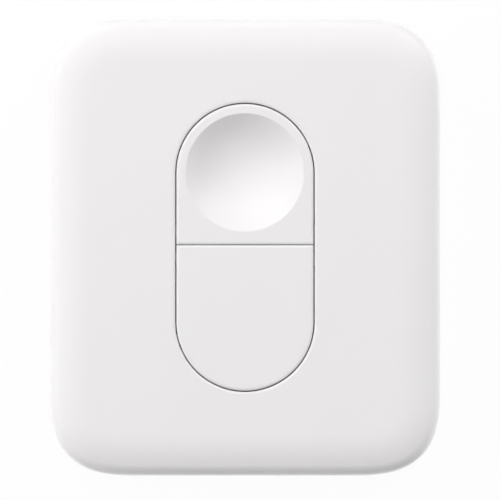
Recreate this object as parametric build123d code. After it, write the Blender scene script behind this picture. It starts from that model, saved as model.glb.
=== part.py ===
"""Wireless dimmer remote: a softly cornered hand-held control with two hinged keys, in millimetres.

X runs to the right, Y towards the dimpled key, Z out of the front face.
The origin is the centre of the flat rear face, on which the remote lies or is screwed to a wall.
"""

import os
from math import cos, radians, sin, tan

from build123d import *

# Housing
BODY_WIDTH = 68.0
BODY_HEIGHT = 79.5
BODY_DEPTH = 15.6
CORNER_REACH = 15.7
CORNER_EASE = 0.735
INNER_CORNER = 0.72
CROWN_REACH = 5.2
CROWN_TILT = 21.0
SHOULDER_RADIUS = 2.2
WALL_DRAFT = 2.0
REAR_BREAK = 1.2
WALL = 2.0
FRONT_WALL = 1.6
TRAY_FLOOR = 1.8
TRAY_HEIGHT = 3.6
SEAM_STEP = 0.2

# Keys and the well they sit in
WELL_WIDTH = 24.0
WELL_LENGTH = 50.0
KEY_GAP = 0.2
DIVIDER_GAP = 0.13
EDGE_REACH = 0.4
EDGE_DROP = 0.14
DIMPLE_MARGIN = 1.75
DIMPLE_DEPTH = 3.6
DIVIDER_MARGIN = 2.32
BOWL_FOOT = 4.5
KEY_WALL = 1.5
KEY_SKIRT = 1.2
COLLAR_WALL = 1.4

# Key hinges, stops and the noses that press the switches
HINGE_DROP = 3.4
HINGE_SETBACK = 2.4
TRUNNION_RADIUS = 1.2
TRUNNION_GAP = 0.05
TRUNNION_SHY = 0.1
SADDLE_LIP = 0.65
SADDLE_GRIP = 0.2
STOP_REACH = 1.0
STOP_THICKNESS = 1.0
STOP_GAP = 0.1
STOP_START = 4.8
NOSE_RADIUS = 1.6
NOSE_MINIMUM = 0.3
NOSE_GAP = 0.1
RIB_WIDTH = 1.0
RIB_DEPTH = 1.5

# Key switches, and the lower pairing switch on the rear of the board
SWITCH_SIDE = 6.2
SWITCH_CASE = 3.1
SWITCH_HEIGHT = 4.0
PLUNGER_RADIUS = 1.75
PAIR_SIDE = 4.6
PAIR_CASE = 1.7
PAIR_HEIGHT = 2.5
PAIR_PLUNGER_RADIUS = 1.1
SWITCH_SHEET = 0.2
SWITCH_WALL = 0.85
SWITCH_PLAY = 0.06
TERMINAL_WIDTH = 0.6
TERMINAL_LENGTH = 0.9

# Circuit board and what is soldered to it
BOARD_THICKNESS = 1.0
BOARD_CORNER = 1.5
BOARD_MARGIN = 1.2
SHIELD_LENGTH = 14.0
SHIELD_WIDTH = 9.0
SHIELD_HEIGHT = 2.0
SHIELD_BREAK = 0.4
CRYSTAL_LENGTH = 3.2
CRYSTAL_WIDTH = 2.5
CRYSTAL_HEIGHT = 0.8
CONTROLLER_SIDE = 5.0
CONTROLLER_HEIGHT = 0.9
CHIP_LENGTH = 1.6
CHIP_WIDTH = 0.8
CHIP_PITCH = 2.5
CHIP_COUNT = 4
SHIELD_RISE = 12.2
PAIR_DROP = 9.5
LIGHT_RISE = 8.0
LIGHT_SIDE = 1.6
LIGHT_HEIGHT = 0.8
LENS_SIDE = 1.0
LENS_HEIGHT = 0.4

# Cell, its tunnel and its contacts
CELL_RADIUS = 5.25
CELL_LENGTH = 44.5
NUB_RADIUS = 1.9
NUB_LENGTH = 0.9
CELL_LIFT = 0.35
CELL_GAP = 0.25
TUNNEL_WALL = 0.9
TUNNEL_END = 1.2
CONTACT_SHEET = 0.4
CONTACT_ARM = 1.6
CONTACT_TAIL = 1.2
PLATE_HALF = 3.7
LEAF_HALF = 3.1
LEAF_SPACE = 2.6
LEAF_WIDTH = 4.0
LEAF_GAP = 0.04
CRADLE_THICKNESS = 1.2
CRADLE_HALF = 3.2
CRADLE_GAP = 0.3

# Chassis and the clip legs that hold it
CHASSIS_FLOOR = 1.1
BOARD_STANDOFF = 0.5
STAND_SIDE = 2.6
PEG_RADIUS = 0.8
PEG_RISE = 0.8
LEG_INSET = 8.5
LEG_WIDTH = 3.0
LEG_THICKNESS = 1.4
LEG_SHOULDER = 0.8
LEG_BARB = 0.5
LEG_TOE = 0.9
LEG_GAP = 0.05

# Rim and snap hooks between the two halves of the housing
RIM_GAP = 0.15
RIM_WALL = 1.0
RIM_RISE = 1.4
HOOK_WIDTH = 6.0
HOOK_THICKNESS = 1.2
HOOK_RISE = 4.6
HOOK_SPACING = 36.0
HOOK_ROOM = 0.9
BARB_REACH = 0.7
BARB_HEIGHT = 1.2
BARB_GAP = 0.15

# Wall-screw holes, room for the screws' heads, and the notch for prying the halves apart
FIXING_SPACING = 60.0
FIXING_RADIUS = 1.9
FIXING_ROOM = 4.5
NOTCH_WIDTH = 10.0
NOTCH_HEIGHT = 1.0
NOTCH_DEPTH = 1.3

# Clearance where a fixed piece passes through another, the overlap of features moulded as one,
# and how far a cutting shape stands clear of what it trims
PASS_GAP = 0.15
ROOT = 0.3
OVERCUT = 1.0

# Levels along Z
FRONT = BODY_DEPTH
FRONT_INNER = FRONT - FRONT_WALL
CROWN_DROP = CROWN_REACH * tan(radians(CROWN_TILT)) / 2
HINGE_Z = FRONT - HINGE_DROP
COLLAR_BOTTOM = HINGE_Z - TRUNNION_RADIUS - TRUNNION_GAP - SADDLE_LIP
STOP_TOP = COLLAR_BOTTOM - STOP_GAP
STOP_BOTTOM = STOP_TOP - STOP_THICKNESS
BOWL_UNDERSIDE = FRONT - DIMPLE_DEPTH - KEY_WALL
NOSE_TIP = BOWL_UNDERSIDE - NOSE_MINIMUM
BOARD_TOP = NOSE_TIP - NOSE_GAP - SWITCH_HEIGHT
BOARD_BOTTOM = BOARD_TOP - BOARD_THICKNESS
CHASSIS_TOP = BOARD_BOTTOM - BOARD_STANDOFF
CHASSIS_BOTTOM = CHASSIS_TOP - CHASSIS_FLOOR
CELL_Z = TRAY_FLOOR + CELL_LIFT + CELL_RADIUS
ARM_BOTTOM = max(BOARD_TOP + CHIP_WIDTH, CELL_Z)
ARM_TOP = ARM_BOTTOM + CONTACT_ARM
HOOK_TOP = TRAY_HEIGHT + HOOK_RISE

# Places across the body
WELL_SIDE = WELL_WIDTH / 2 + KEY_GAP / 2
KEY_SIDE = WELL_WIDTH / 2 - KEY_GAP / 2
CAP_Y = (WELL_LENGTH - WELL_WIDTH) / 2
DIMPLE_RADIUS = WELL_WIDTH / 2 - DIMPLE_MARGIN
BOWL_RADIUS = (DIMPLE_RADIUS**2 + DIMPLE_DEPTH**2) / (2 * DIMPLE_DEPTH)
DIVIDER_Y = CAP_Y - DIMPLE_RADIUS - DIVIDER_MARGIN
COLLAR_SIDE = WELL_SIDE + COLLAR_WALL
RIM_INSET = WALL + RIM_GAP
HOOK_INNER = RIM_INSET + HOOK_THICKNESS
CHASSIS_INSET = HOOK_INNER + HOOK_ROOM
TUNNEL_RADIUS = CELL_RADIUS + CELL_GAP
TUNNEL_OUTER = TUNNEL_RADIUS + TUNNEL_WALL
CELL_X = -(COLLAR_SIDE + BODY_WIDTH / 2 - HOOK_INNER) / 2
TUNNEL_HALF = (CELL_LENGTH + LEAF_SPACE) / 2 + CONTACT_SHEET
CELL_SHOULDER = TUNNEL_HALF - CONTACT_SHEET - NUB_LENGTH
CELL_BACK = CELL_SHOULDER + NUB_LENGTH - CELL_LENGTH
LEG_X = BODY_WIDTH / 2 - LEG_INSET
LEG_Y = BODY_HEIGHT / 2 - LEG_INSET
BOARD_LEFT = CELL_X + TUNNEL_OUTER + BOARD_MARGIN
BOARD_RIGHT = BODY_WIDTH / 2 - CHASSIS_INSET - BOARD_MARGIN
BOARD_HALF = LEG_Y - LEG_THICKNESS / 2 - LEG_SHOULDER - BOARD_MARGIN
TAIL_X = BOARD_LEFT + BOARD_MARGIN + CONTACT_TAIL / 2
SIDE_X = (COLLAR_SIDE + BOARD_RIGHT) / 2
LIGHT_Y = LIGHT_RISE - PAIR_DROP


def slab(x, y, z):
    """Plain block between two limits on each axis."""
    size = (x[1] - x[0], y[1] - y[0], z[1] - z[0])
    return Pos(x[0], y[0], z[0]) * Box(*size, align=(Align.MIN, Align.MIN, Align.MIN))


def block(x, y, half_x, half_y, z):
    """Plain block about an upright centre line."""
    return slab((x - half_x, x + half_x), (y - half_y, y + half_y), z)


def post(x, y, z, radius):
    """Round post along Z between two levels."""
    base = (Align.CENTER, Align.CENTER, Align.MIN)
    return Pos(x, y, z[0]) * Cylinder(radius, z[1] - z[0], align=base)


def axle(x, y, z, radius):
    """Round bar along X between two limits."""
    base = (Align.CENTER, Align.CENTER, Align.MIN)
    return Pos(x[0], y, z) * Rot(0, 90, 0) * Cylinder(radius, x[1] - x[0], align=base)


def barrel(y, radius):
    """Round bar along Y on the cell's centre line, between two limits."""
    bar = Cylinder(radius, y[1] - y[0], rotation=(90, 0, 0))
    return Pos(CELL_X, (y[0] + y[1]) / 2, CELL_Z) * bar


def soft_outline(inset):
    """The body's outline, whose corners ease in and out of the sides."""
    half_x = BODY_WIDTH / 2 - inset
    half_y = BODY_HEIGHT / 2 - inset
    reach = CORNER_REACH - inset
    steps = (0, reach * CORNER_EASE / 2, reach * CORNER_EASE)
    edges = []
    for sign_x, sign_y in ((1, 1), (-1, 1), (-1, -1), (1, -1)):
        upright = [(sign_x * half_x, sign_y * (half_y - reach + step)) for step in steps]
        level = [(sign_x * (half_x - reach + step), sign_y * half_y) for step in steps]
        edges.append(Bezier(*upright, *reversed(level)))
    for sign in (1, -1):
        edges.append(Line((sign * half_x, half_y - reach), (sign * half_x, reach - half_y)))
        edges.append(Line((half_x - reach, sign * half_y), (reach - half_x, sign * half_y)))
    return make_face(edges)


def soft_block(inset, bottom, top):
    """Upright block with the body's outline."""
    return Pos(0, 0, bottom) * extrude(soft_outline(inset), top - bottom)


def inner_block(inset, bottom, top):
    """Upright block for hidden inside forms, with plain round corners that follow the soft ones."""
    radius = (CORNER_REACH - inset) * INNER_CORNER
    outline = RectangleRounded(BODY_WIDTH - 2 * inset, BODY_HEIGHT - 2 * inset, radius)
    return Pos(0, 0, bottom) * extrude(outline, top - bottom)


def pill(grow):
    """Outline of the key well, grown or shrunk about the middle of its gap."""
    return SlotOverall(WELL_LENGTH + 2 * grow, WELL_WIDTH + 2 * grow, rotation=90)


def pill_block(grow, bottom, top):
    """Upright block with the key well's outline."""
    return Pos(0, 0, bottom) * extrude(pill(grow), top - bottom)


def hinge_y(side):
    """Height up the body of a key's hinge; side is 1 for the upper key and -1 for the lower."""
    return DIVIDER_Y + side * HINGE_SETBACK


def leg_spots():
    """Where the four clip legs stand."""
    return [(sign_x * LEG_X, sign_y * LEG_Y) for sign_x in (-1, 1) for sign_y in (-1, 1)]


def hook_spots():
    """The four snap hooks: which side wall, and how far up it."""
    return [(side, sign * HOOK_SPACING / 2) for side in (-1, 1) for sign in (-1, 1)]


def side_slab(side, depth, y, z):
    """Block along a side wall, its depth measured inwards from the body's widest point."""
    near = side * (BODY_WIDTH / 2 - depth[0])
    far = side * (BODY_WIDTH / 2 - depth[1])
    return slab(sorted((near, far)), y, z)


def edge_waste():
    """Section of what is trimmed off outside the leaning wall, the shoulder and the crown of the face."""
    tilt = radians(CROWN_TILT)
    draft = radians(WALL_DRAFT)
    side = BODY_WIDTH / 2
    wall_z = FRONT - CROWN_DROP - SHOULDER_RADIUS * (cos(tilt) - sin(draft))
    wall_x = side - (wall_z - TRAY_HEIGHT) * tan(draft)
    centre_x = wall_x - SHOULDER_RADIUS * cos(draft)
    centre_z = wall_z - SHOULDER_RADIUS * sin(draft)
    halfway = (tilt + radians(90) - draft) / 2
    bulge = (centre_x + SHOULDER_RADIUS * sin(halfway), centre_z + SHOULDER_RADIUS * cos(halfway))
    crown_x = centre_x + SHOULDER_RADIUS * sin(tilt)
    crown_end = (crown_x, FRONT - CROWN_DROP)
    crown_start = (crown_x - CROWN_REACH, FRONT)
    crown = Bezier(crown_start, (crown_x - CROWN_REACH / 2, FRONT), crown_end)
    shoulder = ThreePointArc(crown_end, bulge, (wall_x, wall_z))
    outside = [(wall_x, wall_z), (side, TRAY_HEIGHT), (side, TRAY_HEIGHT - OVERCUT)]
    outside += [(side + OVERCUT, TRAY_HEIGHT - OVERCUT), (side + OVERCUT, FRONT + OVERCUT)]
    outside += [(crown_start[0], FRONT + OVERCUT), crown_start]
    return Plane.XZ * make_face([crown, shoulder, Polyline(*outside)])


def cover_shell():
    """Skin of the front cover, crowned towards its edge, and hollow behind with an even wall."""
    trim = sweep(edge_waste(), path=soft_outline(0).wire())
    skin = soft_block(-OVERCUT / 2, TRAY_HEIGHT, FRONT) - trim
    hollow = inner_block(WALL, TRAY_HEIGHT, FRONT_INNER)
    roof = hollow.faces().sort_by(Axis.Z)[-1]
    return skin - chamfer(roof.outer_wire().edges(), CROWN_REACH, CROWN_DROP, reference=roof)


def key_well():
    """Collar that guides the keys, with a snap-in saddle for each hinge stub."""
    collar = pill_block(KEY_GAP / 2 + COLLAR_WALL, COLLAR_BOTTOM, FRONT_INNER + ROOT)
    bore = TRUNNION_RADIUS + TRUNNION_GAP
    mouth = TRUNNION_RADIUS - SADDLE_GRIP
    across = (-2 * COLLAR_SIDE, 2 * COLLAR_SIDE)
    for side in (1, -1):
        y = hinge_y(side)
        collar -= axle(across, y, HINGE_Z, bore)
        collar -= slab(across, (y - mouth, y + mouth), (COLLAR_BOTTOM, HINGE_Z))
    return collar


def clip_leg(x, y):
    """Leg behind the front wall: a shoulder on the chassis, a shank through it and a barb behind it."""
    half = LEG_WIDTH / 2
    thick = LEG_THICKNESS / 2
    toe = CHASSIS_BOTTOM - LEG_TOE
    leg = block(x, y, half + LEG_SHOULDER, thick + LEG_SHOULDER, (CHASSIS_TOP, FRONT_INNER + ROOT))
    leg += block(x, y, half, thick, (toe, CHASSIS_TOP + ROOT))
    outward = thick + LEG_BARB if y > 0 else -thick - LEG_BARB
    return leg + slab((x - half, x + half), sorted((y, y + outward)), (toe, CHASSIS_BOTTOM - LEG_GAP))


def hook_catch(side, y):
    """Pocket inside a side wall that takes a snap hook's barb."""
    half = HOOK_WIDTH / 2 + BARB_GAP
    depth = (RIM_INSET - BARB_REACH - BARB_GAP, RIM_INSET)
    levels = (HOOK_TOP - BARB_HEIGHT - BARB_GAP, HOOK_TOP + BARB_GAP)
    return side_slab(side, depth, (y - half, y + half), levels)


def front_cover():
    """Front half of the housing, with the key well, the clip legs and the catches for the hooks."""
    cover = cover_shell() + key_well()
    for x, y in leg_spots():
        cover += clip_leg(x, y)
    for side, y in hook_spots():
        cover -= hook_catch(side, y)
    cover -= pill_block(KEY_GAP / 2, COLLAR_BOTTOM, FRONT)
    face = cover.faces().sort_by(Axis.Z)[-1]
    return chamfer(face.inner_wires().edges(), EDGE_REACH, EDGE_DROP, reference=face)


def tray_rim():
    """Straight ribs inside the tray's walls that locate it in the front cover."""
    levels = (TRAY_FLOOR - ROOT, TRAY_HEIGHT + RIM_RISE)
    depth = (RIM_INSET, RIM_INSET + RIM_WALL)
    span_x = BODY_WIDTH / 2 - CORNER_REACH
    span_y = BODY_HEIGHT / 2 - CORNER_REACH
    edge = BODY_HEIGHT / 2
    ribs = []
    for sign in (1, -1):
        ribs.append(side_slab(sign, depth, (-span_y, span_y), levels))
        across = sorted((sign * (edge - depth[0]), sign * (edge - depth[1])))
        ribs.append(slab((-span_x, span_x), across, levels))
    return ribs


def snap_hook(side, y):
    """Springy upright with an outward barb, sloped so that it rides into its catch."""
    span = (y - HOOK_WIDTH / 2, y + HOOK_WIDTH / 2)
    beam = side_slab(side, (RIM_INSET, HOOK_INNER), span, (TRAY_FLOOR - ROOT, HOOK_TOP))
    root = BODY_WIDTH / 2 - RIM_INSET
    low = HOOK_TOP - BARB_HEIGHT
    tip = (root + BARB_REACH, low + BARB_HEIGHT / 3)
    back = root - ROOT
    outline = Polyline((back, low), (root + BARB_REACH, low), tip, (back, HOOK_TOP), close=True)
    barb = Pos(0, span[1], 0) * extrude(Plane.XZ * make_face(outline), HOOK_WIDTH)
    return beam + (barb if side > 0 else mirror(barb, Plane.YZ))


def cradle_rib(y):
    """Low rib whose hollowed top steadies the cell from behind."""
    levels = (TRAY_FLOOR - ROOT, CHASSIS_BOTTOM - CRADLE_GAP)
    rib = block(CELL_X, y, CRADLE_HALF, CRADLE_THICKNESS / 2, levels)
    return rib - barrel((y - CRADLE_THICKNESS, y + CRADLE_THICKNESS), CELL_RADIUS + CRADLE_GAP)


def back_cover():
    """Rear half of the housing: a flat tray with its rim, hooks, cell ribs, screw holes and pry notch."""
    cover = soft_block(SEAM_STEP, 0, TRAY_HEIGHT)
    cover = chamfer(cover.edges().group_by(Axis.Z)[0], REAR_BREAK)
    cover -= inner_block(RIM_INSET, TRAY_FLOOR, TRAY_HEIGHT)
    for rib in tray_rim():
        cover += rib
    for side, y in hook_spots():
        cover += snap_hook(side, y)
    for sign in (1, -1):
        cover += cradle_rib(sign * CELL_LENGTH / 4)
        cover -= post(0, sign * FIXING_SPACING / 2, (0, TRAY_FLOOR), FIXING_RADIUS)
    edge = -BODY_HEIGHT / 2
    half = NOTCH_WIDTH / 2
    notch = slab((-half, half), (edge, edge + NOTCH_DEPTH), (TRAY_HEIGHT - NOTCH_HEIGHT, TRAY_HEIGHT))
    return cover - notch


def key_outline(side, shrink):
    """One key's share of the pill, on its side of the divider, drawn in by an amount."""
    edge = DIVIDER_Y + side * (DIVIDER_GAP / 2 + shrink)
    share = Pos(0, edge + side * WELL_LENGTH / 2) * Rectangle(2 * WELL_WIDTH, WELL_LENGTH)
    return pill(-KEY_GAP / 2 - shrink) & share


def key_blank(side):
    """Solid key with its front edges broken."""
    blank = Pos(0, 0, STOP_BOTTOM) * extrude(key_outline(side, 0), FRONT - STOP_BOTTOM)
    face = blank.faces().sort_by(Axis.Z)[-1]
    return chamfer(face.edges(), EDGE_REACH, EDGE_DROP, reference=face)


def key_hollow(side):
    """Space behind a key's front wall, with the skirt cut short beside the other key so both can swing."""
    depth = FRONT - KEY_WALL - STOP_BOTTOM
    hollow = Pos(0, 0, STOP_BOTTOM) * extrude(key_outline(side, KEY_SKIRT), depth)
    edge = DIVIDER_Y + side * DIVIDER_GAP / 2
    span = sorted((edge, edge + side * KEY_SKIRT))
    return hollow + slab((-WELL_SIDE, WELL_SIDE), span, (STOP_BOTTOM, HINGE_Z - TRUNNION_RADIUS))


def key_stop(side):
    """Lip round the free end of a key, held under the collar when the key is up."""
    lip = pill_block(KEY_GAP / 2 + STOP_REACH, STOP_BOTTOM, STOP_TOP)
    lip -= pill_block(-KEY_GAP / 2 - KEY_SKIRT, STOP_BOTTOM, STOP_TOP)
    keep = sorted((side * (CAP_Y + STOP_START), side * WELL_LENGTH))
    return lip & slab((-WELL_WIDTH, WELL_WIDTH), keep, (STOP_BOTTOM, STOP_TOP))


def key_stub(side, sign):
    """Hinge stub on one flank of a key, snapped into the collar's saddle."""
    span = sorted((sign * (KEY_SIDE - KEY_SKIRT), sign * (COLLAR_SIDE - TRUNNION_SHY)))
    return axle(span, hinge_y(side), HINGE_Z, TRUNNION_RADIUS)


def with_fittings(key, side):
    """Adds a key's stop lip and hinge stubs."""
    return key + key_stop(side) + key_stub(side, 1) + key_stub(side, -1)


def on_key():
    """Upper key, with a round fingertip dimple whose underside presses the switch."""
    base = (Align.CENTER, Align.CENTER, Align.MIN)
    rise = FRONT - KEY_WALL - BOWL_UNDERSIDE
    bowl = Pos(0, CAP_Y, BOWL_UNDERSIDE) * Cone(BOWL_FOOT, DIMPLE_RADIUS, rise, align=base)
    dish = Pos(0, CAP_Y, FRONT - DIMPLE_DEPTH + BOWL_RADIUS) * Sphere(BOWL_RADIUS, rotation=(90, 0, 0))
    key = key_blank(1) - (key_hollow(1) - bowl) - dish
    key += post(0, CAP_Y, (NOSE_TIP, BOWL_UNDERSIDE + ROOT), NOSE_RADIUS)
    return with_fittings(key, 1)


def off_key():
    """Lower key, flat on top, with a ribbed nose down to its switch."""
    key = key_blank(-1) - key_hollow(-1)
    inner = FRONT - KEY_WALL
    key += post(0, -CAP_Y, (NOSE_TIP, inner + ROOT), NOSE_RADIUS)
    key += block(0, -CAP_Y, KEY_SIDE - KEY_SKIRT + ROOT, RIB_WIDTH / 2, (inner - RIB_DEPTH, inner + ROOT))
    return with_fittings(key, -1)


def switch_parts(place, side, case, height, radius):
    """Tact switch at a place on the board: base, steel cover, plunger and soldered terminals."""
    half = side / 2
    lid = case - SWITCH_SHEET
    floor = lid / 3
    room = half - SWITCH_WALL
    flange = (lid - floor / 2, lid - SWITCH_PLAY)
    base = block(0, 0, half, half, (0, lid)) - block(0, 0, room, room, (floor, lid))
    cover = block(0, 0, half, half, (lid, case))
    for sign in (1, -1):
        wing = sorted((sign * half, sign * (half + SWITCH_SHEET)))
        cover += slab((-half / 2, half / 2), wing, (floor, case))
    cover -= post(0, 0, (lid, case), radius + SWITCH_PLAY)
    play = room - SWITCH_PLAY
    plunger = block(0, 0, play, play, flange) + post(0, 0, (flange[0], height), radius)
    feet = [place * foot for foot in switch_terminals(half)]
    parts = {"base": place * base, "cover": place * cover, "plunger": place * plunger}
    return {**parts, "terminals": Compound(children=feet)}


def switch_terminals(half):
    """Four flat feet, two on each side, soldered to the board."""
    feet = []
    for sign_x in (1, -1):
        for sign_y in (1, -1):
            x = sign_x * (half + TERMINAL_LENGTH / 2)
            y = sign_y * (half - SWITCH_WALL)
            feet.append(block(x, y, TERMINAL_LENGTH / 2, TERMINAL_WIDTH / 2, (0, SWITCH_SHEET)))
    return feet


def key_switch(y):
    """Key switch on the front of the board, under a key's nose."""
    place = Pos(0, y, BOARD_TOP)
    return switch_parts(place, SWITCH_SIDE, SWITCH_CASE, SWITCH_HEIGHT, PLUNGER_RADIUS)


def pair_switch():
    """Low switch facing rearwards, reached once the back cover is off."""
    place = Pos(SIDE_X, -PAIR_DROP, BOARD_BOTTOM) * Rot(180, 0, 0)
    return switch_parts(place, PAIR_SIDE, PAIR_CASE, PAIR_HEIGHT, PAIR_PLUNGER_RADIUS)


def stand_spots():
    """Stands that carry the board: two beside the cell and two near the far corners."""
    left = BOARD_LEFT + STAND_SIDE
    right = BOARD_RIGHT - STAND_SIDE
    low = CAP_Y + SWITCH_SIDE / 2
    high = BOARD_HALF - STAND_SIDE
    return [(left, -low), (right, high), (left, low), (right, -high)]


def peg_spots():
    """The two stands, across from each other, whose pegs locate the board."""
    return stand_spots()[:2]


def contact_sheet(sign):
    """Limits along Y of a contact's sheet: 1 is the plus end of the cell, -1 the minus end."""
    return sorted((sign * (TUNNEL_HALF - CONTACT_SHEET), sign * TUNNEL_HALF))


def contact_slot(sign):
    """The same limits, opened by the clearance round a contact."""
    sheet = contact_sheet(sign)
    return sheet[0] - PASS_GAP, sheet[1] + PASS_GAP


def circuit_board():
    """Glass-fibre board with holes for the chassis's pegs and slots for the contacts' tails."""
    levels = (BOARD_BOTTOM, BOARD_TOP)
    board = slab((BOARD_LEFT, BOARD_RIGHT), (-BOARD_HALF, BOARD_HALF), levels)
    board = chamfer(board.edges().filter_by(Axis.Z), BOARD_CORNER)
    for x, y in peg_spots():
        board -= post(x, y, levels, PEG_RADIUS + PASS_GAP)
    half = CONTACT_TAIL / 2 + PASS_GAP
    for sign in (1, -1):
        board -= slab((TAIL_X - half, TAIL_X + half), contact_slot(sign), levels)
    return board


def on_board(x, y, size_x, size_y, height):
    """Block soldered to the front of the board."""
    return block(x, y, size_x / 2, size_y / 2, (BOARD_TOP, BOARD_TOP + height))


def radio_shield():
    """Closed tin can over the radio."""
    can = on_board(SIDE_X, SHIELD_RISE, SHIELD_WIDTH, SHIELD_LENGTH, SHIELD_HEIGHT)
    can = chamfer(can.edges().filter_by(Axis.Z), SHIELD_BREAK)
    return chamfer(can.edges().group_by(Axis.Z)[-1], SHIELD_BREAK / 2)


def crystal():
    """Quartz clock in a small flat can beside the radio."""
    y = SHIELD_RISE - SHIELD_LENGTH / 2 - CRYSTAL_LENGTH
    can = on_board(SIDE_X, y, CRYSTAL_WIDTH, CRYSTAL_LENGTH, CRYSTAL_HEIGHT)
    return chamfer(can.edges().filter_by(Axis.Z), SHIELD_BREAK / 2)


def controller_chip():
    """Square controller chip in front of the pairing switch."""
    return on_board(SIDE_X, -PAIR_DROP, CONTROLLER_SIDE, CONTROLLER_SIDE, CONTROLLER_HEIGHT)


def capacitors():
    """Row of chip capacitors below the controller."""
    row = []
    for index in range(CHIP_COUNT):
        y = -PAIR_DROP - CONTROLLER_SIDE / 2 - (index + 1) * CHIP_PITCH
        row.append(on_board(SIDE_X, y, CHIP_LENGTH, CHIP_WIDTH, CHIP_WIDTH))
    return Compound(children=row)


def status_light():
    """Small light with a square lens on the rear of the board."""
    low = BOARD_BOTTOM - LIGHT_HEIGHT
    light = block(SIDE_X, LIGHT_Y, LIGHT_SIDE / 2, LIGHT_SIDE / 2, (low, BOARD_BOTTOM))
    return light + block(SIDE_X, LIGHT_Y, LENS_SIDE / 2, LENS_SIDE / 2, (low - LENS_HEIGHT, low))


def tunnel():
    """Arched cover over the cell, closed at both ends."""
    length = TUNNEL_HALF + TUNNEL_END
    arch = barrel((-length, length), TUNNEL_OUTER)
    arch += block(CELL_X, 0, TUNNEL_OUTER, length, (CHASSIS_BOTTOM, CELL_Z))
    return arch - block(CELL_X, 0, TUNNEL_OUTER, length, (0, CHASSIS_BOTTOM))


def tunnel_room():
    """Space in the tunnel, straight out through the rear, with slots for the contacts' arms."""
    room = barrel((-TUNNEL_HALF, TUNNEL_HALF), TUNNEL_RADIUS)
    room += block(CELL_X, 0, TUNNEL_RADIUS, TUNNEL_HALF, (0, CELL_Z))
    for sign in (1, -1):
        arm = (ARM_BOTTOM - PASS_GAP, ARM_TOP + PASS_GAP)
        room += slab((CELL_X, CELL_X + TUNNEL_OUTER), contact_slot(sign), arm)
    return room


def chassis():
    """Moulded carrier: floor, cell tunnel, board stands, and windows for what passes through it."""
    frame = inner_block(CHASSIS_INSET, CHASSIS_BOTTOM, CHASSIS_TOP) + tunnel() - tunnel_room()
    for x, y in stand_spots():
        frame += block(x, y, STAND_SIDE / 2, STAND_SIDE / 2, (CHASSIS_TOP - ROOT, BOARD_BOTTOM))
    for x, y in peg_spots():
        frame += post(x, y, (CHASSIS_TOP, BOARD_TOP + PEG_RISE), PEG_RADIUS)
    floor = (CHASSIS_BOTTOM, CHASSIS_TOP)
    for x, y in leg_spots():
        frame -= block(x, y, LEG_WIDTH / 2 + PASS_GAP, LEG_THICKNESS / 2 + PASS_GAP, floor)
    for sign in (1, -1):
        frame -= block(0, sign * FIXING_SPACING / 2, FIXING_ROOM, FIXING_ROOM, floor)
    pair_room = PAIR_SIDE / 2 + TERMINAL_LENGTH + PASS_GAP
    frame -= block(SIDE_X, -PAIR_DROP, pair_room, pair_room, floor)
    return frame - block(SIDE_X, LIGHT_Y, LIGHT_SIDE, LIGHT_SIDE, floor)


def contact(sign):
    """Flat stamped contact: plate behind the cell's end, arm over the board and tail down through it."""
    sheet = contact_sheet(sign)
    tail = CONTACT_TAIL / 2
    plate = slab((CELL_X - PLATE_HALF, CELL_X + PLATE_HALF), sheet, (CHASSIS_BOTTOM, CELL_Z + PLATE_HALF))
    plate += slab((CELL_X, TAIL_X + tail), sheet, (ARM_BOTTOM, ARM_TOP))
    return plate + slab((TAIL_X - tail, TAIL_X + tail), sheet, (BOARD_BOTTOM - BOARD_STANDOFF / 2, ARM_TOP))


def negative_contact():
    """Minus contact, with a bowed leaf that presses the cell towards the plus end."""
    root = -TUNNEL_HALF + CONTACT_SHEET / 2
    apex = CELL_BACK - LEAF_GAP
    foot = LEAF_HALF - CONTACT_SHEET
    outer = ThreePointArc((root, CELL_Z - LEAF_HALF), (apex, CELL_Z), (root, CELL_Z + LEAF_HALF))
    inner = ThreePointArc((root, CELL_Z + foot), (apex - CONTACT_SHEET, CELL_Z), (root, CELL_Z - foot))
    sides = [Line(outer @ 1, inner @ 0), Line(inner @ 1, outer @ 0)]
    profile = Plane.YZ * make_face([outer, inner, *sides])
    leaf = Pos(CELL_X - LEAF_WIDTH / 2, 0, 0) * extrude(profile, LEAF_WIDTH)
    return contact(-1) + leaf


def battery_cell():
    """AAA cell with its raised plus end towards the top of the remote."""
    can = barrel((CELL_BACK, CELL_SHOULDER), CELL_RADIUS)
    return can + barrel((CELL_SHOULDER - ROOT, CELL_SHOULDER + NUB_LENGTH), NUB_RADIUS)


def all_parts():
    """Every piece of the remote, by node name."""
    parts = {
        "back_cover": back_cover(),
        "front_cover": front_cover(),
        "on_key": on_key(),
        "off_key": off_key(),
        "chassis": chassis(),
        "circuit_board": circuit_board(),
        "radio_shield": radio_shield(),
        "crystal": crystal(),
        "controller_chip": controller_chip(),
        "capacitors": capacitors(),
        "status_light": status_light(),
        "positive_contact": contact(1),
        "negative_contact": negative_contact(),
        "battery_cell": battery_cell(),
    }
    switches = {"on": key_switch(CAP_Y), "off": key_switch(-CAP_Y), "pair": pair_switch()}
    for switch, pieces in switches.items():
        for piece, solid in pieces.items():
            parts[f"{switch}_switch_{piece}"] = solid
    return parts


def main():
    """Writes one STEP file for each piece."""
    os.makedirs("parts", exist_ok=True)
    for name, solid in all_parts().items():
        export_step(solid, f"parts/{name}.step")


if __name__ == "__main__":
    main()
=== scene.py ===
import math

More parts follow.
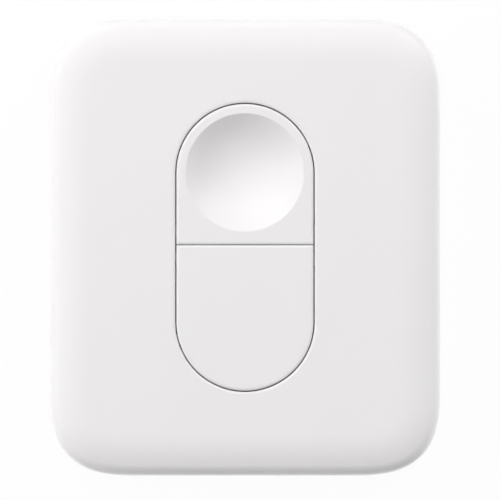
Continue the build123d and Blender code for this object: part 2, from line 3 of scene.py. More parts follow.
import bmesh
import bpy
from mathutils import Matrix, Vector


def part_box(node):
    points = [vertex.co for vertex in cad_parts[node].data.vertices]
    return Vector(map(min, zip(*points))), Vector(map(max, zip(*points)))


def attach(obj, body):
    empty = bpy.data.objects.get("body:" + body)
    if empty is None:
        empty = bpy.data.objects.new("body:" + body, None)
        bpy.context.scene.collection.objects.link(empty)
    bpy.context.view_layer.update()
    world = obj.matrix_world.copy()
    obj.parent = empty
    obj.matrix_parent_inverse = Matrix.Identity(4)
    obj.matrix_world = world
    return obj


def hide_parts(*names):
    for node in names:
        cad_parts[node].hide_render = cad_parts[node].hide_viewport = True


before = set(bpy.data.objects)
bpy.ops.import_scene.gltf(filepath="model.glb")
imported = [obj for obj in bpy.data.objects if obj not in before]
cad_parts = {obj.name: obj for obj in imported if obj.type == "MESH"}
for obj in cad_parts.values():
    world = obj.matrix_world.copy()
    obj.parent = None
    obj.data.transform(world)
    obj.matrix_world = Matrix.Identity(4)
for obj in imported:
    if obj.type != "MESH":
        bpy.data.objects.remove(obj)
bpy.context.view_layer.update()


# Back cover: a shallow tray that lies on the table or is screwed to a wall.
# Injection moulded in white ABS with a fine spark-eroded satin on its outside,
# and snapped to the front cover by four hooks.
MM = 0.001


class Signal:
    """A value in a node tree. Arithmetic on it adds the Math nodes."""

    def __init__(self, tree, socket):
        self.tree = tree
        self.socket = socket

    def node(self, kind, settings, sockets, output=0):
        """Any node: its settings go in first, then the values or links of its sockets."""
        made = self.tree.nodes.new(kind)
        for name, value in settings.items():
            setattr(made, name, value)
        for name, value in sockets.items():
            if isinstance(value, Signal):
                self.tree.links.new(value.socket, made.inputs[name])
            else:
                made.inputs[name].default_value = value
        return Signal(self.tree, made.outputs[output])

    def math(self, operation, *values):
        """Math node on values or signals."""
        return self.node("ShaderNodeMath", {"operation": operation}, dict(enumerate(values)))

    def __add__(self, other):
        return self.math("ADD", self, other)

    def __radd__(self, other):
        return self.math("ADD", other, self)

    def __sub__(self, other):
        return self.math("SUBTRACT", self, other)

    def __rsub__(self, other):
        return self.math("SUBTRACT", other, self)

    def __mul__(self, other):
        return self.math("MULTIPLY", self, other)

    def __rmul__(self, other):
        return self.math("MULTIPLY", other, self)

    def __gt__(self, other):
        return self.math("GREATER_THAN", self, other)

    def __lt__(self, other):
        return self.math("LESS_THAN", self, other)

    def __abs__(self):
        return self.math("ABSOLUTE", self)

    def swing(self, reach):
        """Value from 0 to 1 moved to lie about zero and scaled to the reach."""
        return (self - 0.5) * reach

    def blend(self, first, second):
        """Colour that goes from the first to the second as this value goes from 0 to 1."""
        factor, first_colour, second_colour, colour_out = 0, 6, 7, 2
        sockets = {factor: self, first_colour: first, second_colour: second}
        return self.node("ShaderNodeMix", {"data_type": "RGBA"}, sockets, colour_out)


def start(name):
    """New material: the material, its shader's sockets, and the place on the piece in millimetres."""
    material = bpy.data.materials.new(name)
    material.use_nodes = True
    tree = material.node_tree
    root = Signal(tree, tree.nodes.new("ShaderNodeTexCoord").outputs["Object"])
    scaled = {0: root, "Scale": 1 / MM}
    place = root.node("ShaderNodeVectorMath", {"operation": "SCALE"}, scaled)
    return material, tree.nodes["Principled BSDF"].inputs, place


def feed(socket, signal):
    """Links a signal into one of the shader's sockets."""
    signal.tree.links.new(signal.socket, socket)


def speckle(place, size, detail=2.0):
    """Noise whose lumps are about size millimetres across."""
    return place.node("ShaderNodeTexNoise", {}, {"Vector": place, "Scale": 1 / size, "Detail": detail})


EDGE_SAMPLES = 6


def relief(place, height, depth, edge):
    """Surface normal for a relief depth millimetres deep, on edges rounded off by edge millimetres."""
    rounded = place.node("ShaderNodeBevel", {"samples": EDGE_SAMPLES}, {"Radius": edge * MM})
    sockets = {"Strength": 1.0, "Distance": depth * MM, "Height": height, "Normal": rounded}
    return place.node("ShaderNodeBump", {}, sockets)


CLOUD_SIZE, CLOUD_SHADE, CLOUD_SHEEN = 14.0, 0.975, 0.08
GRAIN_SHEEN = 0.1


def moulded(name, colour, roughness, grain, depth, edge):
    """Moulded plastic: spark-eroded grain, faint clouds from the flow of the melt, and soft edges."""
    material, shader, place = start(name)
    cloud = speckle(place, CLOUD_SIZE, detail=3.0)
    spark = speckle(place, grain, detail=3.0)
    deep = [*(CLOUD_SHADE * value for value in colour), 1.0]
    feed(shader["Base Color"], cloud.blend(deep, [*colour, 1.0]))
    feed(shader["Roughness"], roughness + cloud.swing(CLOUD_SHEEN) + spark.swing(GRAIN_SHEEN))
    feed(shader["Normal"], relief(place, spark, depth, edge))
    return material


def dress(material, *nodes):
    """Gives CAD pieces their finish."""
    for node in nodes:
        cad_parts[node].material_slots[0].material = material


SHELL_COLOUR = (0.826, 0.81, 0.8145)
SHELL_ROUGHNESS = 0.34
shell_finish = moulded(
    "white_shell_satin", SHELL_COLOUR, SHELL_ROUGHNESS, grain=0.22, depth=0.002, edge=0.3
)
dress(shell_finish, "back_cover")


def repeat(name, spots, turning, sizes, shape, material):
    """Geometry Nodes piece: a shape at each spot, turned the spot's way. Lengths are in millimetres."""
    tree = bpy.data.node_groups.new(f"{name}_nodes", "GeometryNodeTree")
    tree.interface.new_socket("Spots", in_out="INPUT", socket_type="NodeSocketGeometry")
    for size in sizes:
        tree.interface.new_socket(size, in_out="INPUT", socket_type="NodeSocketFloat")
    tree.interface.new_socket("Piece", in_out="OUTPUT", socket_type="NodeSocketGeometry")
    given = {socket.name: Signal(tree, socket) for socket in tree.nodes.new("NodeGroupInput").outputs}
    root = given["Spots"]
    way = root.node("GeometryNodeInputNamedAttribute", {"data_type": "FLOAT_VECTOR"}, {"Name": "facing"})
    turn = root.node("FunctionNodeAlignRotationToVector", turning, {"Vector": way})
    copies = {"Points": root, "Instance": shape(given), "Rotation": turn}
    placed = root.node("GeometryNodeInstanceOnPoints", {}, copies)
    joined = root.node("GeometryNodeRealizeInstances", {}, {"Geometry": placed})
    finished = root.node("GeometryNodeSetMaterial", {}, {"Geometry": joined, "Material": material})
    tree.links.new(finished.socket, tree.nodes.new("NodeGroupOutput").inputs["Piece"])

    points = bpy.data.meshes.new(f"{name}_spots")
    points.from_pydata([Vector(spot) * MM for spot, facing in spots], [], [])
    points.attributes.new("facing", "FLOAT_VECTOR", "POINT")
    for entry, (spot, facing) in zip(points.attributes["facing"].data, spots):
        entry.vector = facing
    piece = bpy.data.objects.new(name, points)
    bpy.context.scene.collection.objects.link(piece)
    modifier = piece.modifiers.new("repeat", "NODES")
    modifier.node_group = tree
    for item in tree.interface.items_tree:
        if item.name in sizes:
            modifier[item.identifier] = sizes[item.name] * MM
    graph = bpy.context.evaluated_depsgraph_get()
    mesh = bpy.data.meshes.new_from_object(piece.evaluated_get(graph))
    piece.modifiers.clear()
    piece.data = mesh
    mesh.name = name
    mesh.attributes.remove(mesh.attributes["facing"])
    mesh.materials.clear()
    mesh.materials.append(material)
    mesh.polygons.foreach_set("material_index", [0] * len(mesh.polygons))
    return piece


RING_SIDES, BEAD_SIDES = 40, 8


def bead_ring(given):
    """Ring with a round section."""
    sweep = {"Resolution": RING_SIDES, "Radius": given["Radius"]}
    section = {"Resolution": BEAD_SIDES, "Radius": given["Bead"]}
    path = given["Radius"].node("GeometryNodeCurvePrimitiveCircle", {}, sweep)
    round_wire = path.node("GeometryNodeCurvePrimitiveCircle", {}, section)
    return path.node("GeometryNodeCurveToMesh", {}, {"Curve": path, "Profile Curve": round_wire})


# Rings that the ejector pins left on the tray's floor.
UPRIGHT = {"axis": "Z"}
UP, DOWN = (0, 0, 1), (0, 0, -1)
PIN_SIZES = {"Radius": 2.4, "Bead": 0.07}
TRAY_FLOOR = 1.8
TRAY_PINS = (
    (-24, 30), (24, 30), (-24, -30), (24, -30), (-10, 14), (10, 14), (-10, -14), (10, -14), (27, 0),
)
tray_spots = [((x, y, TRAY_FLOOR), UP) for x, y in TRAY_PINS]
tray_pins = repeat("tray_pin_marks", tray_spots, UPRIGHT, PIN_SIZES, bead_ring, shell_finish)
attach(tray_pins, "back")


# Chassis: the carrier behind the keys, with the cell's arched tunnel and the board's stands.
# Moulded in a plainer, slightly cooler white than the housing, and held by the front cover's clip legs.
FRAME_COLOUR = (0.69, 0.7, 0.715)
frame_finish = moulded(
    "pale_frame_plain", FRAME_COLOUR, roughness=0.5, grain=0.5, depth=0.004, edge=0.12
)
dress(frame_finish, "chassis")

# Rings that the ejector pins left on the chassis's underside.
CHASSIS_UNDERSIDE = 3.5
CHASSIS_PINS = ((-8, 9), (-8, -9), (9, 20), (9, -20), (26, 27), (26, -27), (25, 12), (9, 0))
chassis_spots = [((x, y, CHASSIS_UNDERSIDE), DOWN) for x, y in CHASSIS_PINS]
chassis_pins = repeat("chassis_pin_marks", chassis_spots, UPRIGHT, PIN_SIZES, bead_ring, frame_finish)
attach(chassis_pins, "unit")


CREASE = math.radians(35)


def lofted(name, stacks, material):
    """Piece made of stacks of point rings in millimetres, joined ring to ring and closed at both ends."""
    shape = bmesh.new()
    for rings in stacks:
        rows = [[shape.verts.new(Vector(point) * MM) for point in ring] for ring in rings]
        for lower, upper in zip(rows, rows[1:]):
            for side in range(len(lower)):
                shape.faces.new((lower[side - 1], lower[side], upper[side], upper[side - 1]))
        shape.faces.new(rows[0])
        shape.faces.new(rows[-1])
    bmesh.ops.recalc_face_normals(shape, faces=shape.faces)
    mesh = bpy.data.meshes.new(name)
    shape.to_mesh(mesh)
    shape.free()
    mesh.polygons.foreach_set("use_smooth", [True] * len(mesh.polygons))
    mesh.set_sharp_from_angle(angle=CREASE)
    mesh.materials.append(material)
    piece = bpy.data.objects.new(name, mesh)
    bpy.context.scene.collection.objects.link(piece)
    return piece


def plus_outline(arm, bar):
    """Outline of a plus sign with arms of the given reach and half width."""
    quarter = ((bar, bar), (bar, arm), (-bar, arm))
    turns = ((1, 0), (0, 1), (-1, 0), (0, -1))
    return [(x * c - y * s, x * s + y * c) for c, s in turns for x, y in quarter]


def minus_outline(arm, bar):
    """Outline of a minus sign of the given half length and half width."""
    return [(arm, bar), (-arm, bar), (-arm, -bar), (arm, -bar)]


# Signs for the cell's ends, raised on the chassis's underside with a small draft.
# Each step is an inset of the outline and its drop below that face.
SIGN_ARM, SIGN_BAR = 2.1, 0.55
SIGN_STEPS = ((0.0, -0.1), (0.05, 0.4), (0.08, 0.46), (0.14, 0.5))
SIGN_PLACES = ((plus_outline, -11.0, 20.0), (minus_outline, -11.0, -20.0))
sign_stacks = []
for outline, sign_x, sign_y in SIGN_PLACES:
    sign_rings = []
    for inset, drop in SIGN_STEPS:
        flat = outline(SIGN_ARM - inset, SIGN_BAR - inset)
        sign_rings.append([(sign_x + x, sign_y + y, CHASSIS_UNDERSIDE - drop) for x, y in flat])
    sign_stacks.append(sign_rings)
signs = lofted("polarity_signs", sign_stacks, frame_finish)
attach(signs, "unit")


# Circuit board: one millimetre of glass-fibre laminate, copper on both sides under green solder mask.
# Sheared to size, so its edges show the straw-coloured laminate; it sits on the chassis's stands.
BLOCK_SIZE, TRACK_ROWS, TRACK_SHARE = 6.25, 9.0, 0.42
MASK, MASK_ON_COPPER = (0.012, 0.1, 0.042, 1.0), (0.03, 0.17, 0.07, 1.0)
RESIN, GLASS = (0.36, 0.3, 0.12, 1.0), (0.52, 0.46, 0.24, 1.0)
MASK_ROUGHNESS, MASK_SHEEN, EDGE_ROUGHER = 0.28, 0.1, 0.3


def board_finish():
    """Solder mask with the copper showing through as paler tracks, and bare laminate at the edges."""
    material, shader, place = start("board_mask")
    blocks = {"feature": "F1", "distance": "MANHATTAN"}
    reach = place.node("ShaderNodeTexVoronoi", blocks, {"Vector": place, "Scale": 1 / BLOCK_SIZE})
    stripe = reach.math("FRACT", reach * TRACK_ROWS)
    track = abs(stripe.swing(2.0)) < TRACK_SHARE
    flow = speckle(place, size=5.0)
    mask = track.blend(MASK, MASK_ON_COPPER)
    facing = place.node("ShaderNodeNewGeometry", {}, {}, "Normal")
    level = abs(facing.node("ShaderNodeSeparateXYZ", {}, {0: facing}, "Z"))
    weave = speckle(place, size=0.3, detail=4.0)
    laminate = weave.blend(RESIN, GLASS)
    feed(shader["Base Color"], (level > 0.5).blend(laminate, mask))
    feed(shader["Roughness"], MASK_ROUGHNESS + flow.swing(MASK_SHEEN) + EDGE_ROUGHER * (level < 0.5))
    feed(shader["Normal"], relief(place, track, depth=0.015, edge=0.05))
    return material


dress(board_finish(), "circuit_board")


LINE_WIDTH, LINE_SHEEN, LINE_DEPTH = 0.25, 0.16, 0.003
MOTTLE_SIZE, MOTTLE_SHADE, MOTTLE_SHEEN = 1.2, 0.82, 0.1


def metal(name, colour, roughness, draw, edge):
    """Sheet metal with the fine lines of rolling along one axis and a mottled surface."""
    material, shader, place = start(name)
    lined = place.node("ShaderNodeMapping", {"vector_type": "POINT"}, {"Vector": place, "Scale": draw})
    lines = speckle(lined, LINE_WIDTH)
    mottle = speckle(place, MOTTLE_SIZE)
    dull = [*(MOTTLE_SHADE * value for value in colour), 1.0]
    feed(shader["Base Color"], mottle.blend(dull, [*colour, 1.0]))
    feed(shader["Roughness"], roughness + lines.swing(LINE_SHEEN) + mottle.swing(MOTTLE_SHEEN))
    feed(shader["Normal"], relief(place, lines, LINE_DEPTH, edge))
    shader["Metallic"].default_value = 1.0
    return material


# Plated holes: a row along the board's right edge, and one at each side of the pairing switch.
EVEN = (1.0, 1.0, 1.0)
SOLDER_COLOUR = (0.7, 0.7, 0.69)
solder_finish = metal("solder_tin", SOLDER_COLOUR, roughness=0.32, draw=EVEN, edge=0.05)
VIA_SIZES = {"Radius": 0.32, "Bead": 0.1}
VIA_STEP, VIA_INSET, VIAS_EACH_WAY = 3.0, 1.3, 8
SWITCH_VIAS = ((18.1, -9.5), (23.95, -9.5))
board_low, board_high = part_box("circuit_board")
BOARD_BOTTOM, BOARD_TOP = board_low.z / MM, board_high.z / MM
row_x = board_high.x / MM - VIA_INSET
via_spots = []
for index in range(-VIAS_EACH_WAY, VIAS_EACH_WAY + 1):
    via_spots.append(((row_x, index * VIA_STEP, BOARD_TOP), UP))
    via_spots.append(((row_x, index * VIA_STEP, BOARD_BOTTOM), DOWN))
for via_x, via_y in SWITCH_VIAS:
    via_spots.append(((via_x, via_y, BOARD_BOTTOM), DOWN))
vias = repeat("board_vias", via_spots, UPRIGHT, VIA_SIZES, bead_ring, solder_finish)
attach(vias, "unit")


# Radio shield and crystal: small tins over the radio and its clock.
# Pressed from tinned steel sheet and soldered to the board's pads.
TIN_COLOUR = (0.72, 0.72, 0.71)
LINES_ALONG_X, LINES_ALONG_Y, LINES_ALONG_Z = (0.2, 3.0, 1.0), (3.0, 0.2, 1.0), (1.0, 1.0, 0.2)
tin_finish = metal("tinned_sheet", TIN_COLOUR, roughness=0.3, draw=LINES_ALONG_X, edge=0.12)
dress(tin_finish, "radio_shield", "crystal")


# Controller chip: a square package in black resin in front of the pairing switch.
# The resin is moulded matt, with a dot that marks the first lead.
CHIP_BLACK, CHIP_MARK = (0.012, 0.012, 0.014, 1.0), (0.05, 0.05, 0.052, 1.0)
CHIP_ROUGHNESS, CHIP_SHEEN, MARK_SMOOTHER = 0.55, 0.2, 0.15
MARK_INSET, MARK_RADIUS, SAND_SHADE = 0.9, 0.38, 0.2
chip_low, chip_high = (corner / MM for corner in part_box("controller_chip"))


def chip_finish():
    """Matt black resin with a slightly paler round mark near one corner."""
    material, shader, place = start("chip_resin")
    spot = (chip_low.x + MARK_INSET, chip_high.y - MARK_INSET, chip_high.z)
    away = place.node("ShaderNodeVectorMath", {"operation": "DISTANCE"}, {0: place, 1: spot}, "Value")
    mark = away < MARK_RADIUS
    sand = speckle(place, size=0.12, detail=3.0)
    feed(shader["Base Color"], (mark + sand * SAND_SHADE).blend(CHIP_BLACK, CHIP_MARK))
    feed(shader["Roughness"], CHIP_ROUGHNESS + sand.swing(CHIP_SHEEN) - mark * MARK_SMOOTHER)
    feed(shader["Normal"], relief(place, sand, depth=0.006, edge=0.1))
    return material


dress(chip_finish(), "controller_chip")


# Leads: seven on each side, each a flat strip swept along one bend.
LEAD_ROOT, LEAD_KNEE, LEAD_HEEL = -0.2, 0.75, 0.1
LEAD_STEPS = 10


def gull_lead(given):
    """Lead that leaves the package level, bends down and lies along the board."""
    rise, reach, thick = given["Rise"], given["Reach"], given["Thickness"]
    sole = thick * 0.5
    ends = {
        "Start": rise.node("ShaderNodeCombineXYZ", {}, {"X": reach * LEAD_ROOT, "Z": rise}),
        "Start Handle": rise.node("ShaderNodeCombineXYZ", {}, {"X": reach * LEAD_KNEE, "Z": rise}),
        "End Handle": rise.node("ShaderNodeCombineXYZ", {}, {"X": reach * LEAD_HEEL, "Z": sole}),
        "End": rise.node("ShaderNodeCombineXYZ", {}, {"X": reach, "Z": sole}),
    }
    segment = {"Resolution": LEAD_STEPS, **ends}
    bend = rise.node("GeometryNodeCurvePrimitiveBezierSegment", {}, segment)
    level = rise.node("GeometryNodeSetCurveNormal", {"mode": "Z_UP"}, {"Curve": bend})
    section = {"Width": given["Width"], "Height": thick}
    strip = rise.node("GeometryNodeCurvePrimitiveQuadrilateral", {}, section)
    swept = {"Curve": level, "Profile Curve": strip, "Fill Caps": True}
    return rise.node("GeometryNodeCurveToMesh", {}, swept)


LEAD_SIZES = {"Rise": 0.45, "Reach": 0.95, "Width": 0.3, "Thickness": 0.13}
LEAD_PITCH, LEADS_EACH_WAY = 0.65, 3
chip_x, chip_y = (chip_low.x + chip_high.x) / 2, (chip_low.y + chip_high.y) / 2
chip_half = (chip_high.x - chip_low.x) / 2
lead_spots = []
for out_x, out_y in ((1, 0), (0, 1), (-1, 0), (0, -1)):
    for index in range(-LEADS_EACH_WAY, LEADS_EACH_WAY + 1):
        side = index * LEAD_PITCH
        lead_x = chip_x + out_x * chip_half - out_y * side
        lead_y = chip_y + out_y * chip_half + out_x * side
        lead_spots.append(((lead_x, lead_y, BOARD_TOP), (out_x, out_y, 0)))
lead_turning = {"axis": "X", "pivot_axis": "Z"}
leads = repeat("controller_leads", lead_spots, lead_turning, LEAD_SIZES, gull_lead, solder_finish)
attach(leads, "unit")


# Chip capacitors: a row of ceramic bricks with tinned ends, below the controller.
# Fired brown ceramic, dipped at both ends, soldered lying flat.
CERAMIC_DARK, CERAMIC_PALE = (0.3, 0.2, 0.12, 1.0), (0.45, 0.33, 0.22, 1.0)
CERAMIC_SHARE, CERAMIC_ROUGHNESS, CERAMIC_SHEEN, CAP_SMOOTHER = 0.58, 0.55, 0.15, 0.2


def capacitor_finish():
    """Brown ceramic, with tinned caps over the last fifth at each end."""
    material, shader, place = start("capacitor_ceramic")
    low, high = (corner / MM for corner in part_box("capacitors"))
    middle = (low.x + high.x) / 2
    half = (high.x - low.x) / 2
    out = abs(place.node("ShaderNodeSeparateXYZ", {}, {0: place}, "X") - middle)
    cap = out > CERAMIC_SHARE * half
    grit = speckle(place, size=0.15, detail=3.0)
    ceramic = grit.blend(CERAMIC_DARK, CERAMIC_PALE)
    feed(shader["Base Color"], cap.blend(ceramic, [*SOLDER_COLOUR, 1.0]))
    feed(shader["Metallic"], cap)
    feed(shader["Roughness"], CERAMIC_ROUGHNESS - cap * CAP_SMOOTHER + grit.swing(CERAMIC_SHEEN))
    feed(shader["Normal"], relief(place, grit, depth=0.006, edge=0.08))
    return material


dress(capacitor_finish(), "capacitors")


# Tact switches: one under each key, and a lower one facing rearwards for pairing.
# Each has a black moulded base and stem, a stamped steel cover, and tinned feet.
SWITCHES = ("on", "off", "pair")
BASE_BLACK, STEM_BLACK = (0.022, 0.022, 0.024), (0.03, 0.03, 0.033)
COVER_STEEL, FEET_TIN = (0.6, 0.6, 0.61), (0.68, 0.68, 0.67)
base_finish = moulded("switch_base_black", BASE_BLACK, roughness=0.5, grain=0.3, depth=0.004, edge=0.08)
stem_finish = moulded("switch_stem_black", STEM_BLACK, roughness=0.36, grain=0.4, depth=0.003, edge=0.12)
cover_finish = metal("switch_cover_steel", COVER_STEEL, roughness=0.28, draw=LINES_ALONG_Y, edge=0.06)
feet_finish = metal("tinned_feet", FEET_TIN, roughness=0.36, draw=EVEN, edge=0.05)
dress(base_finish, *(f"{switch}_switch_base" for switch in SWITCHES))
dress(stem_finish, *(f"{switch}_switch_plunger" for switch in SWITCHES))
dress(cover_finish, *(f"{switch}_switch_cover" for switch in SWITCHES))
dress(feet_finish, *(f"{switch}_switch_terminals" for switch in SWITCHES))


MOUND_STEPS, MOUND_SIDES, MOUND_TOP = 7, 20, 0.3


def solder_mound(given):
    """Hollow-sided mound of solder: an upright line swept by a circle that shrinks on the way up."""
    top = given["Height"].node("ShaderNodeCombineXYZ", {}, {"Z": given["Height"]})
    line = top.node("GeometryNodeCurvePrimitiveLine", {}, {"End": top})
    steps = top.node("GeometryNodeResampleCurve", {}, {"Curve": line, "Count": MOUND_STEPS})
    foot = {"Resolution": MOUND_SIDES, "Radius": given["Radius"]}
    round_foot = top.node("GeometryNodeCurvePrimitiveCircle", {}, foot)
    left = 1.0 - top.node("GeometryNodeSplineParameter", {}, {}, "Factor")
    shrink = MOUND_TOP + (1.0 - MOUND_TOP) * left * left
    swept = {"Curve": steps, "Profile Curve": round_foot, "Scale": shrink, "Fill Caps": True}
    return top.node("GeometryNodeCurveToMesh", {}, swept)


# Solder at each foot's outer end, on the face of the board that the switch stands on.
FOOT_SOLDER = {"Radius": 0.55, "Height": 0.28}
FOOT_HALF = 0.3
foot_spots = []
for switch in SWITCHES:
    low, high = (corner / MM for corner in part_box(f"{switch}_switch_terminals"))
    level, facing = (BOARD_TOP, UP) if low.z > BOARD_BOTTOM else (BOARD_BOTTOM, DOWN)
    for foot_x in (low.x, high.x):
        for foot_y in (low.y + FOOT_HALF, high.y - FOOT_HALF):
            foot_spots.append(((foot_x, foot_y, level), facing))
foot_solder = repeat("switch_solder", foot_spots, UPRIGHT, FOOT_SOLDER, solder_mound, solder_finish)
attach(foot_solder, "unit")


# Status light: a small lamp on the rear of the board that blinks while pairing.
# White moulded body with a clear, faintly yellow resin lens.
LIGHT_WHITE = (0.8, 0.8, 0.77, 1.0)
LIGHT_RESIN, LIGHT_HAZE = (0.7, 0.62, 0.3, 1.0), (0.8, 0.75, 0.45, 1.0)
LENS_SHARE, LIGHT_ROUGHNESS, LENS_SMOOTHER, HAZE_SHEEN = 0.35, 0.45, 0.3, 0.05


def light_finish():
    """White body, and below it the yellowish resin of the lens."""
    material, shader, place = start("light_resin")
    low, high = (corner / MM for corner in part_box("status_light"))
    level = place.node("ShaderNodeSeparateXYZ", {}, {0: place}, "Z")
    lens = level < low.z + LENS_SHARE * (high.z - low.z)
    haze = speckle(place, size=0.4)
    resin = haze.blend(LIGHT_RESIN, LIGHT_HAZE)
    feed(shader["Base Color"], lens.blend(LIGHT_WHITE, resin))
    feed(shader["Roughness"], LIGHT_ROUGHNESS - lens * LENS_SMOOTHER + haze.swing(HAZE_SHEEN))
    feed(shader["Normal"], relief(place, haze, depth=0.002, edge=0.1))
    return material


dress(light_finish(), "status_light")


# Cell contacts: a flat plate at the plus end and a bowed leaf at the minus end.
# Stamped from nickel-plated spring steel, pushed into the chassis and soldered through the board.
NICKEL_COLOUR = (0.74, 0.72, 0.68)
contact_finish = metal("contact_nickel", NICKEL_COLOUR, roughness=0.26, draw=LINES_ALONG_Z, edge=0.06)
dress(contact_finish, "positive_contact", "negative_contact")

# Solder round each contact's tail, on both faces of the board.
TAIL_SOLDER = {"Radius": 1.0, "Height": 0.7}
TAIL_HALF, CONTACT_SHEET = 0.6, 0.4
tail_spots = []
for contact in ("positive_contact", "negative_contact"):
    low, high = (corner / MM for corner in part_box(contact))
    tail_x = high.x - TAIL_HALF
    tail_y = high.y - CONTACT_SHEET / 2 if high.y > 0 else low.y + CONTACT_SHEET / 2
    tail_spots.append(((tail_x, tail_y, BOARD_TOP), UP))
    tail_spots.append(((tail_x, tail_y, BOARD_BOTTOM), DOWN))
tail_solder = repeat("contact_solder", tail_spots, UPRIGHT, TAIL_SOLDER, solder_mound, solder_finish)
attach(tail_solder, "unit")


# Battery cell: one AAA cell under the chassis's tunnel.
# Drawn steel can, crimped in below its seal, in a shrink sleeve that folds over both ends;
# the sleeve is printed in two plain tones here, and the ends are bare nickel-plated steel.
cell_low, cell_high = (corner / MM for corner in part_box("battery_cell"))
CELL_X, CELL_Z = (cell_low.x + cell_high.x) / 2, (cell_low.z + cell_high.z) / 2
CELL_BARE, CELL_BAND = 4.25, 11.9
SLEEVE_DARK, SLEEVE_BAND = (0.035, 0.037, 0.042, 1.0), (0.3, 0.31, 0.33, 1.0)
STEEL_DULL, STEEL_BRIGHT = (0.56, 0.56, 0.56, 1.0), (0.68, 0.68, 0.67, 1.0)
SLEEVE_ROUGHNESS, WRAP_SHEEN, SCUFF_SHEEN, STEEL_ROUGHER = 0.22, 0.12, 0.08, 0.08


def cell_finish():
    """Two-tone sleeve round the can, with bare steel inside its folds at both ends."""
    material, shader, place = start("cell_sleeve_print")
    along = place.node("ShaderNodeSeparateXYZ", {}, {0: place}, "Y")
    flat = {0: place, 1: (1.0, 0.0, 1.0)}
    across = place.node("ShaderNodeVectorMath", {"operation": "MULTIPLY"}, flat)
    from_axis = {0: across, 1: (CELL_X, 0.0, CELL_Z)}
    radius = place.node("ShaderNodeVectorMath", {"operation": "DISTANCE"}, from_axis, "Value")
    bare = radius < CELL_BARE
    band = along > cell_high.y - CELL_BAND
    wrap = speckle(place, size=6.0, detail=3.0)
    scuff = speckle(place, size=0.7, detail=4.0)
    sleeve = band.blend(SLEEVE_DARK, SLEEVE_BAND)
    steel = scuff.blend(STEEL_DULL, STEEL_BRIGHT)
    roughness = SLEEVE_ROUGHNESS + wrap.swing(WRAP_SHEEN) + scuff.swing(SCUFF_SHEEN)
    feed(shader["Base Color"], bare.blend(sleeve, steel))
    feed(shader["Metallic"], bare)
    feed(shader["Roughness"], roughness + bare * STEEL_ROUGHER)
    feed(shader["Normal"], relief(place, wrap, depth=0.02, edge=0.1))
    return material


# The turned outline from the minus end to the nub's top: place along the cell, and radius.
CELL_SIDES = 64
CELL_PROFILE = (
    (0.0, 3.5), (0.12, 3.75), (0.3, 3.9), (0.3, 4.15), (0.12, 4.3), (0.06, 4.5), (0.1, 4.75),
    (0.25, 5.0), (0.5, 5.15), (0.9, 5.22), (1.4, 5.25), (40.2, 5.25), (40.6, 5.17), (40.9, 5.05),
    (41.2, 5.0), (41.5, 5.05), (41.8, 5.17), (42.2, 5.24), (42.9, 5.22), (43.2, 5.1), (43.4, 4.9),
    (43.5, 4.6), (43.44, 4.3), (43.3, 4.2), (43.2, 4.0), (43.2, 3.2), (43.35, 2.6), (43.45, 2.1),
    (43.7, 1.92), (44.2, 1.88), (44.4, 1.75), (44.5, 1.45),
)
cell_turns = [2 * math.pi * side / CELL_SIDES for side in range(CELL_SIDES)]
cell_rings = []
for length, radius in CELL_PROFILE:
    cell_rings.append([
        (CELL_X + radius * math.cos(turn), cell_low.y + length, CELL_Z + radius * math.sin(turn))
        for turn in cell_turns
    ])
cell = lofted("turned_cell", [cell_rings], cell_finish())
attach(cell, "unit")
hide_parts("battery_cell")


# Front cover: the pillowed shell with the pill-shaped well for the keys.
# Moulded in the same white ABS and tool finish as the back cover, and snapped over it.
dress(shell_finish, "front_cover")


# Keys: the dimpled upper key and the flat lower one, which rock on moulded stubs.
# Moulded in the same white ABS, with a slightly finer grain than the housing.
key_finish = moulded(
    "white_key_satin", SHELL_COLOUR, SHELL_ROUGHNESS, grain=0.18, depth=0.002, edge=0.3
)
dress(key_finish, "on_key", "off_key")


# Table, surroundings, camera and lamps: a white sweep seen from straight above.
# In the photograph, which is 500 pixels across, the body's 68 mm of width takes 390.1 of them.
TABLE_COLOUR, TABLE_ROUGHNESS = (0.9, 0.9, 0.9, 1.0), 0.9
table_paint = bpy.data.materials.new("table_white")
table_paint.use_nodes = True
table_tree = table_paint.node_tree
table_coat = table_tree.nodes["Principled BSDF"]
table_coat.inputs["Base Color"].default_value = TABLE_COLOUR
table_coat.inputs["Roughness"].default_value = TABLE_ROUGHNESS


def seen(tree):
    """One where the camera sees a surface, straight on or through a reflection."""
    path = tree.nodes.new("ShaderNodeLightPath").outputs
    camera = Signal(tree, path["Is Camera Ray"])
    total = camera + Signal(tree, path["Is Glossy Ray"]) + Signal(tree, path["Is Transmission Ray"])
    return total > 0.5


# The table is white to the eye and keeps a trace of shadow. It is clear from below, so that the back
# can be looked at, and to rays that start closer than TABLE_TOUCH, which leave the rear face itself.
TABLE_GLOW, TABLE_TOUCH = 0.95, 0.2 * MM
table_seen = seen(table_tree)
table_glow = table_seen.node("ShaderNodeEmission", {}, {"Strength": 1.0})
table_lit = Signal(table_tree, table_coat.outputs[0])
table_tones = {0: table_seen * TABLE_GLOW, 1: table_lit, 2: table_glow}
table_top = table_seen.node("ShaderNodeMixShader", {}, table_tones)
table_back = table_seen.node("ShaderNodeNewGeometry", {}, {}, "Backfacing")
table_near = table_seen.node("ShaderNodeLightPath", {}, {}, "Ray Length") < TABLE_TOUCH
table_clear = table_seen.node("ShaderNodeBsdfTransparent", {}, {})
table_sides = {0: table_back + table_near, 1: table_top, 2: table_clear}
table_shader = table_seen.node("ShaderNodeMixShader", {}, table_sides)
table_tree.links.new(table_shader.socket, table_tree.nodes["Material Output"].inputs["Surface"])

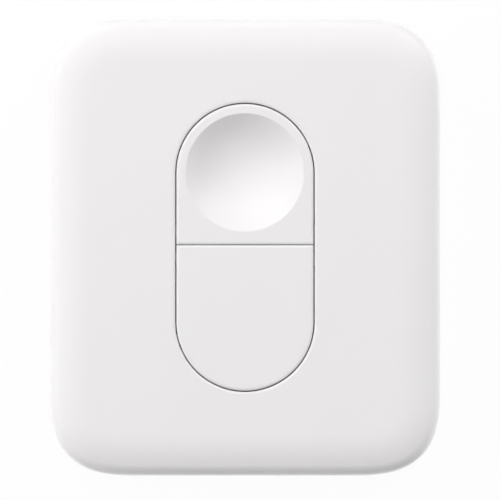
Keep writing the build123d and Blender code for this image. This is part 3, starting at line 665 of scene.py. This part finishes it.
TABLE_HALF, TABLE_DROP = 2.0, 0.02 * MM
corner_signs = ((-1, -1), (1, -1), (1, 1), (-1, 1))
table_corners = [(x * TABLE_HALF, y * TABLE_HALF, -TABLE_DROP) for x, y in corner_signs]
table_mesh = bpy.data.meshes.new("table")
table_mesh.from_pydata(table_corners, [], [range(len(table_corners))])
table_mesh.materials.append(table_paint)
table = bpy.data.objects.new("table", table_mesh)
bpy.context.scene.collection.objects.link(table)

# The room is white to the eye. It gives no light from above, and lights what faces down.
BELOW_LEVEL = 0.9
world = bpy.data.worlds.new("white_room")
bpy.context.scene.world = world
world.use_nodes = True
room_light = world.node_tree.nodes["Background"].inputs
room_light["Color"].default_value = (1.0, 1.0, 1.0, 1.0)
room_seen = seen(world.node_tree)
room_place = world.node_tree.nodes.new("ShaderNodeTexCoord")
room_way = Signal(world.node_tree, room_place.outputs["Generated"])
room_below = room_way.node("ShaderNodeSeparateXYZ", {}, {0: room_way}, "Z") < 0.0
feed(room_light["Strength"], room_seen.math("MAXIMUM", room_seen, room_below * BELOW_LEVEL))

PHOTO_PIXELS, BODY_PIXELS, BODY_WIDTH = 500, 390.1, 68.0 * MM
PIXEL = BODY_WIDTH / BODY_PIXELS
CAMERA_X, CAMERA_Y = 5.0 * PIXEL, -2.6 * PIXEL
LENS, SENSOR, SIGHT = 1200.0, 36.0, 10.0
RIM_LEVEL = 4.0 * MM
camera_data = bpy.data.cameras.new("camera")
camera_data.lens = LENS
camera_data.sensor_width = SENSOR
camera_data.clip_end = SIGHT
camera = bpy.data.objects.new("camera", camera_data)
camera.location = (CAMERA_X, CAMERA_Y, RIM_LEVEL + PHOTO_PIXELS * PIXEL * LENS / SENSOR)
bpy.context.scene.collection.objects.link(camera)
bpy.context.scene.camera = camera

# Each lamp's name, azimuth and elevation in degrees, width in metres and power in watts.
LAMP_REACH = 0.8
LAMPS = (
    ("right_card", 0, 4, 0.1, 1.0),
    ("near_left_card", 225, 4, 0.1, 0.7),
    ("left_box", 180, 32, 0.5, 2.75),
    ("far_left_box", 135, 32, 0.5, 3.05),
    ("far_right_box", 45, 32, 0.5, 3.35),
    ("near_right_high_box", 315, 58, 0.5, 1.0),
    ("overhead_box", 90, 90, 0.5, 1.1),
)
for lamp_name, azimuth, elevation, across, watts in LAMPS:
    turn, tilt = math.radians(azimuth), math.radians(elevation)
    level = math.cos(tilt)
    towards = Vector((math.cos(turn) * level, math.sin(turn) * level, math.sin(tilt)))
    lamp_data = bpy.data.lights.new(lamp_name, "AREA")
    lamp_data.shape = "DISK"
    lamp_data.size = across
    lamp_data.energy = watts
    lamp = bpy.data.objects.new(lamp_name, lamp_data)
    lamp.location = towards * LAMP_REACH
    lamp.rotation_euler = towards.to_track_quat("Z", "Y").to_euler()
    lamp.visible_camera = False
    lamp.visible_glossy = False
    bpy.context.scene.collection.objects.link(lamp)

bpy.context.scene.view_settings.view_transform = "Standard"
